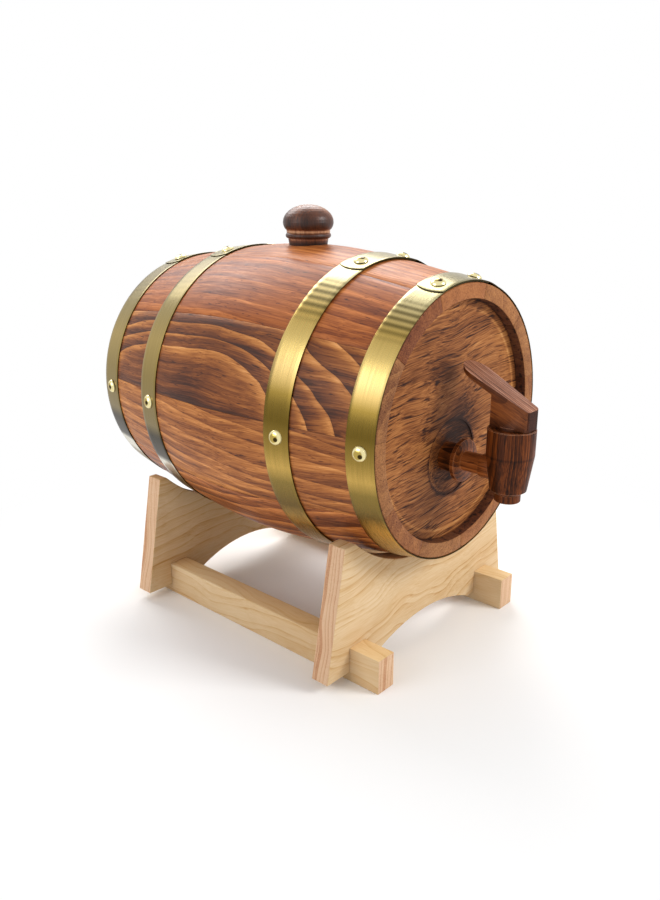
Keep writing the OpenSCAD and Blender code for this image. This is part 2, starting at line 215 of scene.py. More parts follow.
# Planks lie this far apart in the pattern, in mm. The heart is a small part of a year, and the years' width
# changes a little from fast growth to slow.
plank_apart = 400
heart_part = 0.2
growth_change = 0.22
growth_pace = 1.7


def cask_radius(y):
    """Outside of the wood at y from the cask's middle."""
    swell = math.sqrt(1 + (cask_bend * y / half_length) ** 2) - 1
    return bilge_radius - (bilge_radius - end_radius) * swell / (math.sqrt(1 + cask_bend ** 2) - 1)


def bore_radius(y):
    """Inside of the wood: an even thickness, with a straight turned wall at each end for the heads."""
    inner = half_length - wall_straight
    along = min(max((abs(y) - inner + wall_blend) / wall_blend, 0), 1)
    return (cask_radius(y) - stave_thick) * (1 - along) + (end_radius - stave_thick) * along


def piece(name, mesh, body):
    """Links a finished mesh as a piece of the object that moves with a body."""
    made = bpy.data.objects.new(name, mesh)
    scene.collection.objects.link(made)
    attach(made, body)
    return made


def finished(source):
    """The plain mesh of an object with its modifiers, after which the object is gone."""
    bpy.context.view_layer.update()
    made = bpy.data.meshes.new_from_object(source.evaluated_get(bpy.context.evaluated_depsgraph_get()))
    bpy.data.objects.remove(source)
    # A tree leaves an empty slot in front of the material that it sets.
    if len(made.materials) > 1 and made.materials[0] is None:
        numbers = [max(face.material_index - 1, 0) for face in made.polygons]
        made.materials.pop(index=0)
        made.polygons.foreach_set("material_index", numbers)
    return made


# How fine the patterns in wood are, in cycles for each millimetre across, along and again across the stem.
# Fibres are a few tenths of a millimetre wide, drawn a little coarse so that they show. Streaks are a few
# millimetres wide and run nearly the whole length of a plank.
drift_pitch = (0.022, 0.014, 0.022)
fibre_pitch = (1.8, 0.05, 1.8)
cloud_pitch = (0.06, 0.012, 0.06)
streak_pitch = (0.26, 0.004, 0.26)
# Flecks count in their own sizes and years in years. Most of any noise lies in its middle part.
fleck_pitch = 0.55
fleck_edge = 0.12
year_pitch = 0.6
year_change = 1.8
noise_middle = (0.3, 0.7)
pore_depth = -0.8
relief_strength = 0.6
wood_ior = 1.45
red_stain = "#F4B8A6"


def fill(ramp, stops):
    """Gives a new colour ramp its stops, as (position, colour), the first and last at its ends."""
    ramp.elements[0].color = stops[0][1]
    ramp.elements[1].color = stops[-1][1]
    for position, colour in stops[1:-1]:
        ramp.elements.new(position).color = colour


def modify(source, name, kind, **settings):
    """Adds a modifier with its settings."""
    made = source.modifiers.new(name, kind)
    for key, value in settings.items():
        setattr(made, key, value)


def wood(name, tones, coords="Object", place=(0, 0, 0), turn=(0, 0, 0), year=5.0,
         profile=((0, 0), (1, 1)), ring_depth=0.5, sway=5.0, fibre_depth=0.35, cloud_depth=0.3,
         streak_depth=0.0, fleck=0.3, fleck_size=(0.9, 9), fleck_from=0.60, tone_and_painted_light_patches=(), rough=(0.42, 0.6),
         relief=0.06, specular=0.35, sawn=False):
    """Wood whose rings stand round a heart line along Y. place, in mm, and turn set that line in coords."""
    made, tree = bare_material(name)
    bent_plank = coords == "plank"
    if bent_plank:
        source = add(tree, "ShaderNodeAttribute", attribute_name="plank").outputs["Vector"]
    else:
        source = add(tree, "ShaderNodeTexCoord").outputs["Object"]
    grain = add(tree, "ShaderNodeMapping",
                {"Vector": source, "Location": place, "Rotation": turn, "Scale": (1 / mm, 1 / mm, 1 / mm)})
    # The stem leans and wavers slowly along its length, so the rings bend into flames. The noise strays by
    # about a quarter to each side, so four times the sway is that many millimetres.
    lean = 4 * sway
    slow = add(tree, "ShaderNodeVectorMath", {0: grain, 1: drift_pitch}, operation="MULTIPLY")
    drift = add(tree, "ShaderNodeTexNoise", {"Vector": slow, "Scale": 1.0, "Detail": 2.0, "Roughness": 0.45})
    middle = add(tree, "ShaderNodeVectorMath", {0: drift.outputs["Color"], 1: (0.5, 0.5, 0.5)},
                 operation="SUBTRACT")
    bent = add(tree, "ShaderNodeVectorMath", {0: middle, 1: (lean, 0, lean), 2: grain},
               operation="MULTIPLY_ADD")
    if bent_plank:
        grown_years = add(tree, "ShaderNodeAttribute", attribute_name="growth").outputs["Fac"]
        own = add(tree, "ShaderNodeAttribute", attribute_name="stain").outputs["Vector"]
        own = add(tree, "ShaderNodeSeparateXYZ", {0: own})
        wander = add(tree, "ShaderNodeSeparateXYZ", {0: middle})
        wander = add(tree, "ShaderNodeMath", {0: wander.outputs["X"], 1: own.outputs["Z"]},
                     operation="MULTIPLY")
        out = add(tree, "ShaderNodeMath", {0: wander, 1: lean / year, 2: grown_years},
                  operation="MULTIPLY_ADD")
    else:
        flat = add(tree, "ShaderNodeVectorMath", {0: bent, 1: (1 / year, 0, 1 / year)}, operation="MULTIPLY")
        out = add(tree, "ShaderNodeVectorMath", {0: flat}, operation="LENGTH").outputs["Value"]
        years = add(tree, "ShaderNodeTexNoise", {"W": out, "Scale": year_pitch, "Detail": 1.0},
                    noise_dimensions="1D")
        out = add(tree, "ShaderNodeMath", {0: years, 1: year_change, 2: out}, operation="MULTIPLY_ADD")
    part = add(tree, "ShaderNodeMath", {0: out}, operation="FRACT")
    band = add(tree, "ShaderNodeValToRGB", {0: part})
    fill(band.color_ramp, [(position, (value, value, value, 1)) for position, value in profile])
    thin = add(tree, "ShaderNodeVectorMath", {0: bent, 1: fibre_pitch}, operation="MULTIPLY")
    fibre = add(tree, "ShaderNodeTexNoise", {"Vector": thin, "Scale": 1.0, "Detail": 4.0, "Roughness": 0.62})
    wide = add(tree, "ShaderNodeVectorMath", {0: bent, 1: cloud_pitch}, operation="MULTIPLY")
    cloud = add(tree, "ShaderNodeTexNoise", {"Vector": wide, "Scale": 1.0, "Detail": 3.0})
    narrow = add(tree, "ShaderNodeVectorMath", {0: bent, 1: streak_pitch}, operation="MULTIPLY")
    streak = add(tree, "ShaderNodeTexNoise",
                 {"Vector": narrow, "Scale": 1.0, "Detail": 3.0, "Roughness": 0.6})
    short = add(tree, "ShaderNodeVectorMath",
                {0: bent, 1: (1 / fleck_size[0], 1 / fleck_size[1], 1 / fleck_size[0])}, operation="MULTIPLY")
    specks = add(tree, "ShaderNodeTexNoise", {"Vector": short, "Scale": fleck_pitch, "Detail": 2.0})
    pores = add(tree, "ShaderNodeMapRange", {0: specks, 1: fleck_from, 2: fleck_from + fleck_edge})
    # Everything that darkens the wood adds up, and one ramp turns it to colour.
    swing = add(tree, "ShaderNodeMath", {0: band, 1: ring_depth, 2: -ring_depth / 2},
                operation="MULTIPLY_ADD")
    if bent_plank:
        swing = add(tree, "ShaderNodeMath", {0: swing, 1: own.outputs["Z"]}, operation="MULTIPLY")
        darker = own.outputs["X"]
        if sawn:
            darker = add(tree, "ShaderNodeAttribute", attribute_name="sawn").outputs["Fac"]
        swing = add(tree, "ShaderNodeMath", {0: swing, 1: darker}, operation="ADD")
    tone = add(tree, "ShaderNodeMath", {0: swing, 1: 0.5}, operation="ADD")
    for what, depth in ((fibre, fibre_depth), (cloud, cloud_depth), (streak, streak_depth)):
        shift = add(tree, "ShaderNodeMath", {0: what, 1: 2 * depth, 2: -depth}, operation="MULTIPLY_ADD")
        tone = add(tree, "ShaderNodeMath", {0: tone, 1: shift}, operation="ADD")
    tone = add(tree, "ShaderNodeMath", {0: pores, 1: fleck, 2: tone}, operation="MULTIPLY_ADD")
    # Patches painted darker and paler, mostly painted light: painted shade in corners, recesses and under
    # other parts, and, where the depth is negative, painted highlights and sheen. Each place is a centre, the
    # axes on which distance from it counts, a radius and a reach, in mm, and how much darker the wood is.
    for centre, counted, radius, reach, depth in tone_and_painted_light_patches:
        off = add(tree, "ShaderNodeVectorMath", {0: source, 1: [c * mm for c in centre]},
                  operation="SUBTRACT")
        off = add(tree, "ShaderNodeVectorMath", {0: off, 1: counted}, operation="MULTIPLY")
        off = add(tree, "ShaderNodeVectorMath", {0: off}, operation="LENGTH").outputs["Value"]
        off = add(tree, "ShaderNodeMath", {0: off, 1: radius * mm}, operation="SUBTRACT")
        off = add(tree, "ShaderNodeMath", {0: off}, operation="ABSOLUTE")
        near = add(tree, "ShaderNodeMapRange", {0: off, 1: 0.0, 2: reach * mm, 3: depth, 4: 0.0},
                   interpolation_type="SMOOTHSTEP")
        tone = add(tree, "ShaderNodeMath", {0: tone, 1: near}, operation="ADD")
    ramp = add(tree, "ShaderNodeValToRGB", {0: tone})
    fill(ramp.color_ramp, [(position, linear(shade)) for position, shade in tones])
    colour = ramp.outputs["Color"]
    if bent_plank:
        red = add(tree, "ShaderNodeMix", {0: own.outputs["Y"], 6: colour, 7: linear(red_stain)},
                  data_type="RGBA", blend_type="MULTIPLY")
        colour = red.outputs[2]
    shine = add(tree, "ShaderNodeMapRange",
                {0: fibre, 1: noise_middle[0], 2: noise_middle[1], 3: rough[0], 4: rough[1]})
    height = add(tree, "ShaderNodeMath", {0: pores, 1: pore_depth, 2: fibre}, operation="MULTIPLY_ADD")
    bump = add(tree, "ShaderNodeBump",
               {"Height": height, "Strength": relief_strength, "Distance": relief * mm})
    shader = add(tree, "ShaderNodeBsdfPrincipled",
                 {"Base Color": colour, "Roughness": shine, "IOR": wood_ior, "Specular IOR Level": specular,
                  "Normal": bump})
    add(tree, "ShaderNodeOutputMaterial", {"Surface": shader})
    return made


# Stain sinks into the soft early wood, fades through the year and leaves the late wood a fine light line.
late_wood_light = ((0, 0.95), (0.05, 0.85), (0.3, 0.68), (0.62, 0.48), (0.80, 0.20), (0.93, 0.02), (1, 0.12))
stained_pine = wood(
    "stained_pine_satin_lacquer",
    [(0.0, "#E2A566"), (0.20, "#C68445"), (0.42, "#A3642E"), (0.62, "#7D451D"), (0.82, "#562B13"),
     (1.0, "#381A0D")],
    "plank", year=8.0, profile=late_wood_light, ring_depth=0.66, sway=2.6, fibre_depth=0.40,
    cloud_depth=0.28, streak_depth=0.44, fleck=0.42, fleck_size=(0.5, 3.6), fleck_from=0.63,
    rough=(0.36, 0.52), relief=0.05, specular=0.28)
# Where the ends were sawn and turned the fibres stand end on, as a fine speckle that took the stain evenly.
stave_end_grain = wood(
    "stained_pine_sawn_end_grain",
    [(0.0, "#C2935F"), (0.3, "#A87646"), (0.55, "#885A36"), (0.8, "#633A24"), (1.0, "#3E2216")],
    "plank", year=6.0, profile=late_wood_light, ring_depth=0.20, sway=3.0, fibre_depth=0.50, cloud_depth=0.26,
    fleck=0.30, fleck_size=(0.5, 5), fleck_from=0.58, rough=(0.55, 0.7), relief=0.05, specular=0.2, sawn=True)
# Inside the rim the turned wall is painted darker: painted shade in the recess before each head.
stave_wall_painted_shade = wood(
    "stained_pine_turned_wall_painted_shade",
    [(0.0, "#966844"), (0.3, "#74492C"), (0.55, "#56321F"), (0.8, "#3A2014"), (1.0, "#22120B")],
    "plank", year=6.0, profile=late_wood_light, ring_depth=0.20, sway=3.0, fibre_depth=0.45, cloud_depth=0.30,
    fleck=0.40, fleck_size=(2.5, 1.2), fleck_from=0.56, rough=(0.5, 0.65), relief=0.05, specular=0.25)

# One stave is laid out across the top, and the tree raises as many as there are round the cask's axis.
across, along = 10, 64
blank = bmesh.new()
rows = []
for i in range(along + 1):
    y = half_length * (2 * i / along - 1)
    row = []
    for radius in (cask_radius(y), bore_radius(y)):
        for j in range(across + 1):
            turn = (j / across - 0.5) * stave_step
            if j in (0, across):
                turn -= math.copysign(seam_width / 2 / radius, j - across / 2)
            row.append(blank.verts.new((radius * math.sin(turn), y, radius * math.cos(turn))))
    rows.append(row)
# In each row the inner face's points follow the outer face's.
inside = across + 1
for a, b in zip(rows, rows[1:]):
    for j in range(across):
        blank.faces.new((a[j], a[j + 1], b[j + 1], b[j]))
        blank.faces.new((a[inside + j + 1], a[inside + j], b[inside + j], b[inside + j + 1]))
    blank.faces.new((a[inside], a[0], b[0], b[inside]))
    blank.faces.new((a[across], a[inside + across], b[inside + across], b[across]))
for row, flip in ((rows[0], 1), (rows[-1], -1)):
    for j in range(across):
        blank.faces.new((row[j], row[inside + j], row[inside + j + 1], row[j + 1])[::flip])
bmesh.ops.recalc_face_normals(blank, faces=blank.faces)
stave_blank = bpy.data.objects.new("stave_blank", bpy.data.meshes.new("stave_blank"))
blank.to_mesh(stave_blank.data)
blank.free()
scene.collection.objects.link(stave_blank)
modify(stave_blank, "eased_edges", "BEVEL", width=stave_ease, segments=2, limit_method="ANGLE",
       angle_limit=math.radians(50))
stave_blank = bpy.data.objects.new("stave_blank", finished(stave_blank))
stave_blank.data.shade_smooth()
scene.collection.objects.link(stave_blank)


def shaping_tree(name, output, inputs):
    """A new tree with an output and named inputs, and the sockets that give these."""
    made = bpy.data.node_groups.new(name, "GeometryNodeTree")
    for label, kind in inputs.items():
        made.interface.new_socket(name=label, in_out="INPUT", socket_type="NodeSocket" + kind)
    made.interface.new_socket(name=output, in_out="OUTPUT", socket_type="NodeSocketGeometry")
    return made, add(made, "NodeGroupInput").outputs


raising, given = shaping_tree("raise_staves_round_the_axis", "Raised staves", {
    "Geometry": "Geometry", "Stave": "Object", "Staves": "Int", "First seam": "Float",
    "Stave angle": "Float", "Axis": "Vector", "Wood": "Material"})
marks = add(raising, "GeometryNodeMeshLine",
            {"Count": given["Staves"], "Start Location": given["Axis"], "Offset": (0, 0, 0)})
number = add(raising, "GeometryNodeInputIndex")
half_on = add(raising, "ShaderNodeMath", {0: number, 1: 0.5}, operation="ADD")
turned = add(raising, "ShaderNodeMath",
             {0: half_on, 1: given["Stave angle"], 2: given["First seam"]},
             operation="MULTIPLY_ADD")
about_y = add(raising, "ShaderNodeCombineXYZ", {"Y": turned})
stave = add(raising, "GeometryNodeObjectInfo", {"Object": given["Stave"]})
ring_of = add(raising, "GeometryNodeInstanceOnPoints",
              {"Points": marks, "Instance": stave.outputs["Geometry"], "Rotation": about_y})
real = add(raising, "GeometryNodeRealizeInstances", {0: ring_of})
dressed = add(raising, "GeometryNodeSetMaterial", {"Geometry": real, "Material": given["Wood"]})
add(raising, "NodeGroupOutput", {0: dressed})


def grown(source, tree, inputs):
    """Runs a tree on an object with its named inputs set, and returns the plain mesh that it makes."""
    scene.collection.objects.link(source)
    made = source.modifiers.new(tree.name, "NODES")
    made.node_group = tree
    for socket in tree.interface.items_tree:
        if socket.name in inputs:
            made[socket.identifier] = inputs[socket.name]
    return finished(source)


stave_mesh = grown(bpy.data.objects.new("stave_marks", bpy.data.meshes.new("stave_marks")), raising, {
    "Stave": stave_blank, "Staves": stave_count, "First seam": first_seam, "Stave angle": stave_step,
    "Axis": cask_axis, "Wood": stained_pine})
bpy.data.objects.remove(stave_blank)

# The bung hole is bored through the top stave with a tapered reamer.
bung_low, bung_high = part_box("bung")
bung_centre = (bung_low + bung_high) / 2
bung_hole_radius = 11.46 * mm
bung_taper = 0.15
reamer_below = 12 * mm
reamer_above = 3 * mm
reamer_sides = 64
reamer = bpy.data.objects.new("reamer", bpy.data.meshes.new("reamer"))
cutter = bmesh.new()
bmesh.ops.create_cone(
    cutter, cap_ends=True, segments=reamer_sides, radius1=bung_hole_radius - reamer_below * bung_taper,
    radius2=bung_hole_radius + reamer_above * bung_taper, depth=reamer_below + reamer_above,
    matrix=Matrix.Translation((bung_centre.x, bung_centre.y,
                               axis_height + bilge_radius - (reamer_below - reamer_above) / 2)))
cutter.to_mesh(reamer.data)
cutter.free()
reamer.data.materials.append(stained_pine)
scene.collection.objects.link(reamer)
bored = bpy.data.objects.new("bored_staves", stave_mesh)
scene.collection.objects.link(bored)
modify(bored, "bung_hole", "BOOLEAN", object=reamer, solver="EXACT", operation="DIFFERENCE")
stave_mesh = finished(bored)
bpy.data.objects.remove(reamer)
stave_mesh.name = "staves"

# Each point keeps where it lay in its flat plank, and how many years' growth it lies from the heart.
planks, growths, stains, sawn_ends = [], [], [], []
for point in stave_mesh.vertices:
    off = point.co - cask_axis
    angle = (math.atan2(off.x, off.z) - first_seam) % (2 * math.pi)
    number = int(angle / stave_step)
    (over, under, core, year, skew, dip,
     bow_at, bow, dark, red, ringed, sawn) = stave_grain[number % stave_count]
    across_mm = (angle / stave_step - number - 0.5) * stave_step * bilge_radius / mm
    depth_mm = (math.hypot(off.x, off.z) - cask_radius(off.y)) / mm
    along_mm = off.y / mm
    from_heart = math.hypot(across_mm + over + skew * along_mm,
                            depth_mm + under + dip * along_mm
                            + bow * (math.hypot(along_mm - bow_at, bow_round) - bow_round))
    rings = max(from_heart - core, 0) / year + heart_part
    planks.append((across_mm * mm, (along_mm + plank_apart * number) * mm, depth_mm * mm))
    growths.append(rings + growth_change * math.sin(growth_pace * rings + number) * min(rings, 1))
    stains.append((dark, red, ringed))
    sawn_ends.append(sawn)
for name, kind, key, values in (("plank", "FLOAT_VECTOR", "vector", planks),
                                ("growth", "FLOAT", "value", growths),
                                ("stain", "FLOAT_VECTOR", "vector", stains),
                                ("sawn", "FLOAT", "value", sawn_ends)):
    kept = stave_mesh.attributes.new(name, kind, "POINT")
    flat_values = [v for value in values for v in value] if key == "vector" else values
    kept.data.foreach_set(key, flat_values)
stave_mesh.materials.append(stave_end_grain)
stave_mesh.materials.append(stave_wall_painted_shade)
wall_slot = len(stave_mesh.materials) - 1
end_slot = wall_slot - 1
head_recess = head_low.y - (cask_middle - half_length)
sawn_reach = 0.3 * mm
sawn_facing = 0.3
for face in stave_mesh.polygons:
    off = face.center - cask_axis
    inward = face.normal.x * off.x + face.normal.z * off.z < 0
    if abs(off.y) > half_length - sawn_reach and abs(face.normal.y) > sawn_facing:
        face.material_index = end_slot
    elif abs(off.y) > half_length - 2 * head_recess and inward:
        face.material_index = wall_slot
stave_mesh.shade_smooth()
stave_mesh.set_sharp_from_angle(angle=math.radians(40))
staves = piece("staves", stave_mesh, "cask")
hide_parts(*stave_names)


# ---- Heads ----
# Two round boards sprung into the grooves of the staves, of coarser wood with short dark streaks, stained
# darker. The front one is turned to a shallow dish round the tap's hole. Heights here are in mm.
tap_low, tap_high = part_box("tap_shank")
tap_height = (tap_low.z + tap_high.z) / 2 / mm
head_centre = (0, 0, axis_height / mm)
tap_centre = (0, 0, tap_height)
# Distances that count from a line along the cask, from a level, or from a face across the cask.
from_line = (1, 0, 1)
from_level = (0, 0, 1)
from_face = (0, 1, 0)
head_tones = [(0.0, "#C8935A"), (0.25, "#AC713C"), (0.5, "#8A532A"), (0.72, "#603417"), (1.0, "#2C140A")]
# A darker ring is painted where the rim meets the head, painted shade in that corner, and a paler ring just
# inside it is a painted highlight on the head's edge.
head_edge_shade_and_highlight = [(head_centre, from_line, 66.6, 1.6, 0.45), (head_centre, from_line, 61.5, 1.6, -0.22)]
# Round the tap the front head is painted darker: painted shade at the dish's edge and inside it, and painted
# shadows of the tap and its lever on the head beside and above it.
shade_round_tap = [(tap_centre, from_line, 21.3, 2.2, 0.34), (tap_centre, from_line, 10.0, 12.0, 0.20),
            ((-10, 0, axis_height / mm + 31), from_line, 0, 19.0, 0.24),
            ((8, 0, tap_height + 20), from_line, 0, 25.0, 0.42)]
for name, tone_and_painted_light_patches in (("head_front", shade_round_tap + head_edge_shade_and_highlight), ("head_rear", head_edge_shade_and_highlight)):
    stained_head = wood(
        name.replace("head", "stained_head_board"), head_tones, place=(0, 20, -100),
        turn=(math.radians(4), math.radians(6), math.radians(90)), year=9.0, profile=late_wood_light,
        ring_depth=0.14, sway=3.5, fibre_depth=0.66, cloud_depth=0.36, fleck=0.46, fleck_size=(0.55, 14),
        fleck_from=0.55, tone_and_painted_light_patches=tone_and_painted_light_patches, rough=(0.5, 0.68), relief=0.12, specular=0.2)
    node = frame["nodes"][name]
    node.data.materials.clear()
    node.data.materials.append(stained_head)


# ---- Hoops ----
# Four strips of thin rolled brass, each bent round the staves with its ends lapped on top. The strip is
# straight, so its edge towards the cask's end stands a little off the wood and shows dark beneath.
hoop_width = 16 * mm
hoop_strip = 0.5 * mm
hoop_stand_off = 0.35 * mm
hoop_gap = 0.05 * mm
lap_gap = 0.05 * mm
edge_round = 0.08 * mm
lap_half = math.radians(19.5)
lap_round = 15 * mm
lap_climb = (math.radians(14), math.radians(23))
lap_arc_part = 0.04
wave_height = 0.12 * mm
wave_pace = 9.0
hoop_points = (300, 8)

hoops, given = shaping_tree("bend_hoop_with_lapped_ends", "Hoop", {
    "Geometry": "Geometry", "Middle": "Float", "Front radius": "Float", "Rear radius": "Float",
    "Width": "Float", "Strip": "Float", "Lap": "Float", "Round": "Float", "Climb from": "Float",
    "Climb to": "Float", "Axis height": "Float", "Brass": "Material"})
sheet = add(hoops, "GeometryNodeMeshGrid",
            {"Size X": 1.0, "Size Y": 1.0, "Vertices X": hoop_points[0], "Vertices Y": hoop_points[1]})
spot = add(hoops, "ShaderNodeSeparateXYZ", {0: add(hoops, "GeometryNodeInputPosition")})
run = add(hoops, "ShaderNodeMath", {0: spot.outputs["X"], 1: 0.5}, operation="ADD")
side_off = add(hoops, "ShaderNodeMath", {0: spot.outputs["Y"], 1: given["Width"]}, operation="MULTIPLY")
radius = add(hoops, "ShaderNodeMapRange",
             {0: spot.outputs["Y"], 1: -0.5, 2: 0.5, 3: given["Front radius"], 4: given["Rear radius"]})
# The upper end is cut to an arc, so the strip's middle starts before its edges.
side_square = add(hoops, "ShaderNodeMath", {0: side_off, 1: 2.0}, operation="POWER")
round_square = add(hoops, "ShaderNodeMath", {0: given["Round"], 1: 2.0}, operation="POWER")
chord = add(hoops, "ShaderNodeMath", {0: round_square, 1: side_square}, operation="SUBTRACT")
chord = add(hoops, "ShaderNodeMath", {0: chord}, operation="SQRT")
back = add(hoops, "ShaderNodeMath", {0: given["Round"], 1: chord}, operation="SUBTRACT")
back = add(hoops, "ShaderNodeMath", {0: back, 1: radius}, operation="DIVIDE")
near = add(hoops, "ShaderNodeMapRange", {0: run, 1: 0.0, 2: lap_arc_part, 3: 1.0, 4: 0.0})
back = add(hoops, "ShaderNodeMath", {0: back, 1: near}, operation="MULTIPLY")
start = add(hoops, "ShaderNodeMath", {0: back, 1: given["Lap"]}, operation="SUBTRACT")
turns = add(hoops, "ShaderNodeMath", {0: given["Climb from"], 1: given["Lap"]}, operation="ADD")
turns = add(hoops, "ShaderNodeMath", {0: turns, 1: 2 * math.pi}, operation="ADD")
angle = add(hoops, "ShaderNodeMath", {0: run, 1: turns, 2: start}, operation="MULTIPLY_ADD")
lift = add(hoops, "ShaderNodeMapRange",
           {0: angle, 1: given["Climb from"], 2: given["Climb to"], 3: given["Strip"], 4: 0.0},
           interpolation_type="SMOOTHSTEP")
reach = add(hoops, "ShaderNodeMath", {0: radius, 1: lift}, operation="ADD")
# The rolls leave faint waves round the strip.
wave = add(hoops, "ShaderNodeTexNoise", {"W": angle, "Scale": wave_pace, "Detail": 2.0},
           noise_dimensions="1D")
reach = add(hoops, "ShaderNodeMath", {0: wave, 1: wave_height, 2: reach}, operation="MULTIPLY_ADD")
sine = add(hoops, "ShaderNodeMath", {0: angle}, operation="SINE")
cosine = add(hoops, "ShaderNodeMath", {0: angle}, operation="COSINE")
x = add(hoops, "ShaderNodeMath", {0: reach, 1: sine}, operation="MULTIPLY")
y = add(hoops, "ShaderNodeMath", {0: side_off, 1: given["Middle"]}, operation="ADD")
z = add(hoops, "ShaderNodeMath", {0: reach, 1: cosine, 2: given["Axis height"]}, operation="MULTIPLY_ADD")
on_strip = add(hoops, "ShaderNodeCombineXYZ", {"X": angle, "Y": side_off, "Z": given["Middle"]})
marked = add(hoops, "GeometryNodeStoreNamedAttribute",
             {"Geometry": sheet, "Name": "strip", "Value": on_strip},
             data_type="FLOAT_VECTOR", domain="POINT")
bent = add(hoops, "GeometryNodeSetPosition",
           {"Geometry": marked, "Position": add(hoops, "ShaderNodeCombineXYZ", {0: x, 1: y, 2: z})})
smooth = add(hoops, "GeometryNodeSetShadeSmooth", {"Geometry": bent})
real = add(hoops, "GeometryNodeRealizeInstances", {0: smooth})
add(hoops, "NodeGroupOutput",
    {0: add(hoops, "GeometryNodeSetMaterial", {"Geometry": real, "Material": given["Brass"]})})


# The rolls draw fine lines along the strip, about 0.3 mm apart: its first coordinate is an angle, and the
# others are metres. Bending it left short flats near the laps, about 5 mm long, which show as darker bands
# painted into the colour: painted reflections.
line_pitch = (1.6, 3300, 900)
plain_pitch = (900, 900, 900)
line_shade = "#6E5B28"
line_depth = 0.35
band_wobble = 0.03
flat_pace = 112.0
flats_from = (math.radians(25), math.radians(31))
flats_to = (math.radians(49), math.radians(42))
flat_shade = "#3A3214"
rolled_strength = 0.4
reflection_spot_core = 0.7


def brass(name, coords, bands, rough, ripple, waves=0.0, reflection_spots=()):
    """Bare brass. bands: (degrees from the top, colour) round a strip; painted reflections: (place, radius,
    colour).
    """
    made, tree = bare_material(name)
    if coords == "Object":
        source = add(tree, "ShaderNodeTexCoord").outputs["Object"]
    else:
        source = add(tree, "ShaderNodeAttribute", attribute_name=coords).outputs["Vector"]
    pitch = line_pitch if len(bands) > 1 else plain_pitch
    fine = add(tree, "ShaderNodeVectorMath", {0: source, 1: pitch}, operation="MULTIPLY")
    rolled = add(tree, "ShaderNodeTexNoise", {"Vector": fine, "Scale": 1.0, "Detail": 3.0})
    if len(bands) == 1:
        colour = linear(bands[0][1])
    else:
        around = add(tree, "ShaderNodeSeparateXYZ", {0: source})
        turn = add(tree, "ShaderNodeMath", {0: around.outputs["X"], 1: math.pi, 2: -math.pi},
                   operation="WRAP")
        wobble = add(tree, "ShaderNodeMath", {0: rolled, 1: band_wobble, 2: turn}, operation="MULTIPLY_ADD")
        part = add(tree, "ShaderNodeMapRange",
                   {0: wobble, 1: -math.pi + band_wobble / 2, 2: math.pi + band_wobble / 2})
        ramp = add(tree, "ShaderNodeValToRGB", {0: part})
        fill(ramp.color_ramp, [((angle + 180) / 360, linear(shade)) for angle, shade in bands])
        colour = ramp.outputs["Color"]
        flats = add(tree, "ShaderNodeMath", {0: turn, 1: flat_pace}, operation="MULTIPLY")
        flats = add(tree, "ShaderNodeMath", {0: flats}, operation="SINE")
        beside = add(tree, "ShaderNodeMath", {0: turn}, operation="ABSOLUTE")
        rise = add(tree, "ShaderNodeMapRange", {0: beside, 1: flats_from[0], 2: flats_from[1]})
        fall = add(tree, "ShaderNodeMapRange", {0: beside, 1: flats_to[0], 2: flats_to[1]})
        there = add(tree, "ShaderNodeMath", {0: rise, 1: fall}, operation="MULTIPLY")
        depth = add(tree, "ShaderNodeMath", {0: flats, 1: waves, 2: waves}, operation="MULTIPLY_ADD")
        depth = add(tree, "ShaderNodeMath", {0: depth, 1: there}, operation="MULTIPLY")
        flat_reflections = add(tree, "ShaderNodeMix", {0: depth, 6: colour, 7: linear(flat_shade)}, data_type="RGBA")
        streaks = add(tree, "ShaderNodeMapRange",
                      {0: rolled, 1: noise_middle[0], 2: noise_middle[1], 3: 0.0, 4: line_depth})
        streaked = add(tree, "ShaderNodeMix", {0: streaks, 6: flat_reflections.outputs[2], 7: linear(line_shade)},
                       data_type="RGBA")
        colour = streaked.outputs[2]
    for place, radius, shade in reflection_spots:
        off = add(tree, "ShaderNodeVectorMath", {0: source, 1: place}, operation="DISTANCE")
        within = add(tree, "ShaderNodeMapRange",
                     {0: off.outputs["Value"], 1: radius, 2: radius * reflection_spot_core},
                     interpolation_type="SMOOTHSTEP")
        dull = add(tree, "ShaderNodeMix", {0: within, 6: colour, 7: linear(shade)}, data_type="RGBA")
        colour = dull.outputs[2]
    shine = add(tree, "ShaderNodeMapRange",
                {0: rolled, 1: noise_middle[0], 2: noise_middle[1], 3: rough[0], 4: rough[1]})
    bump = add(tree, "ShaderNodeBump",
               {"Height": rolled, "Strength": rolled_strength, "Distance": ripple * mm})
    shader = add(tree, "ShaderNodeBsdfPrincipled",
                 {"Base Color": colour, "Metallic": 1.0, "Roughness": shine, "Normal": bump})
    add(tree, "ShaderNodeOutputMaterial", {"Surface": shader})
    return made


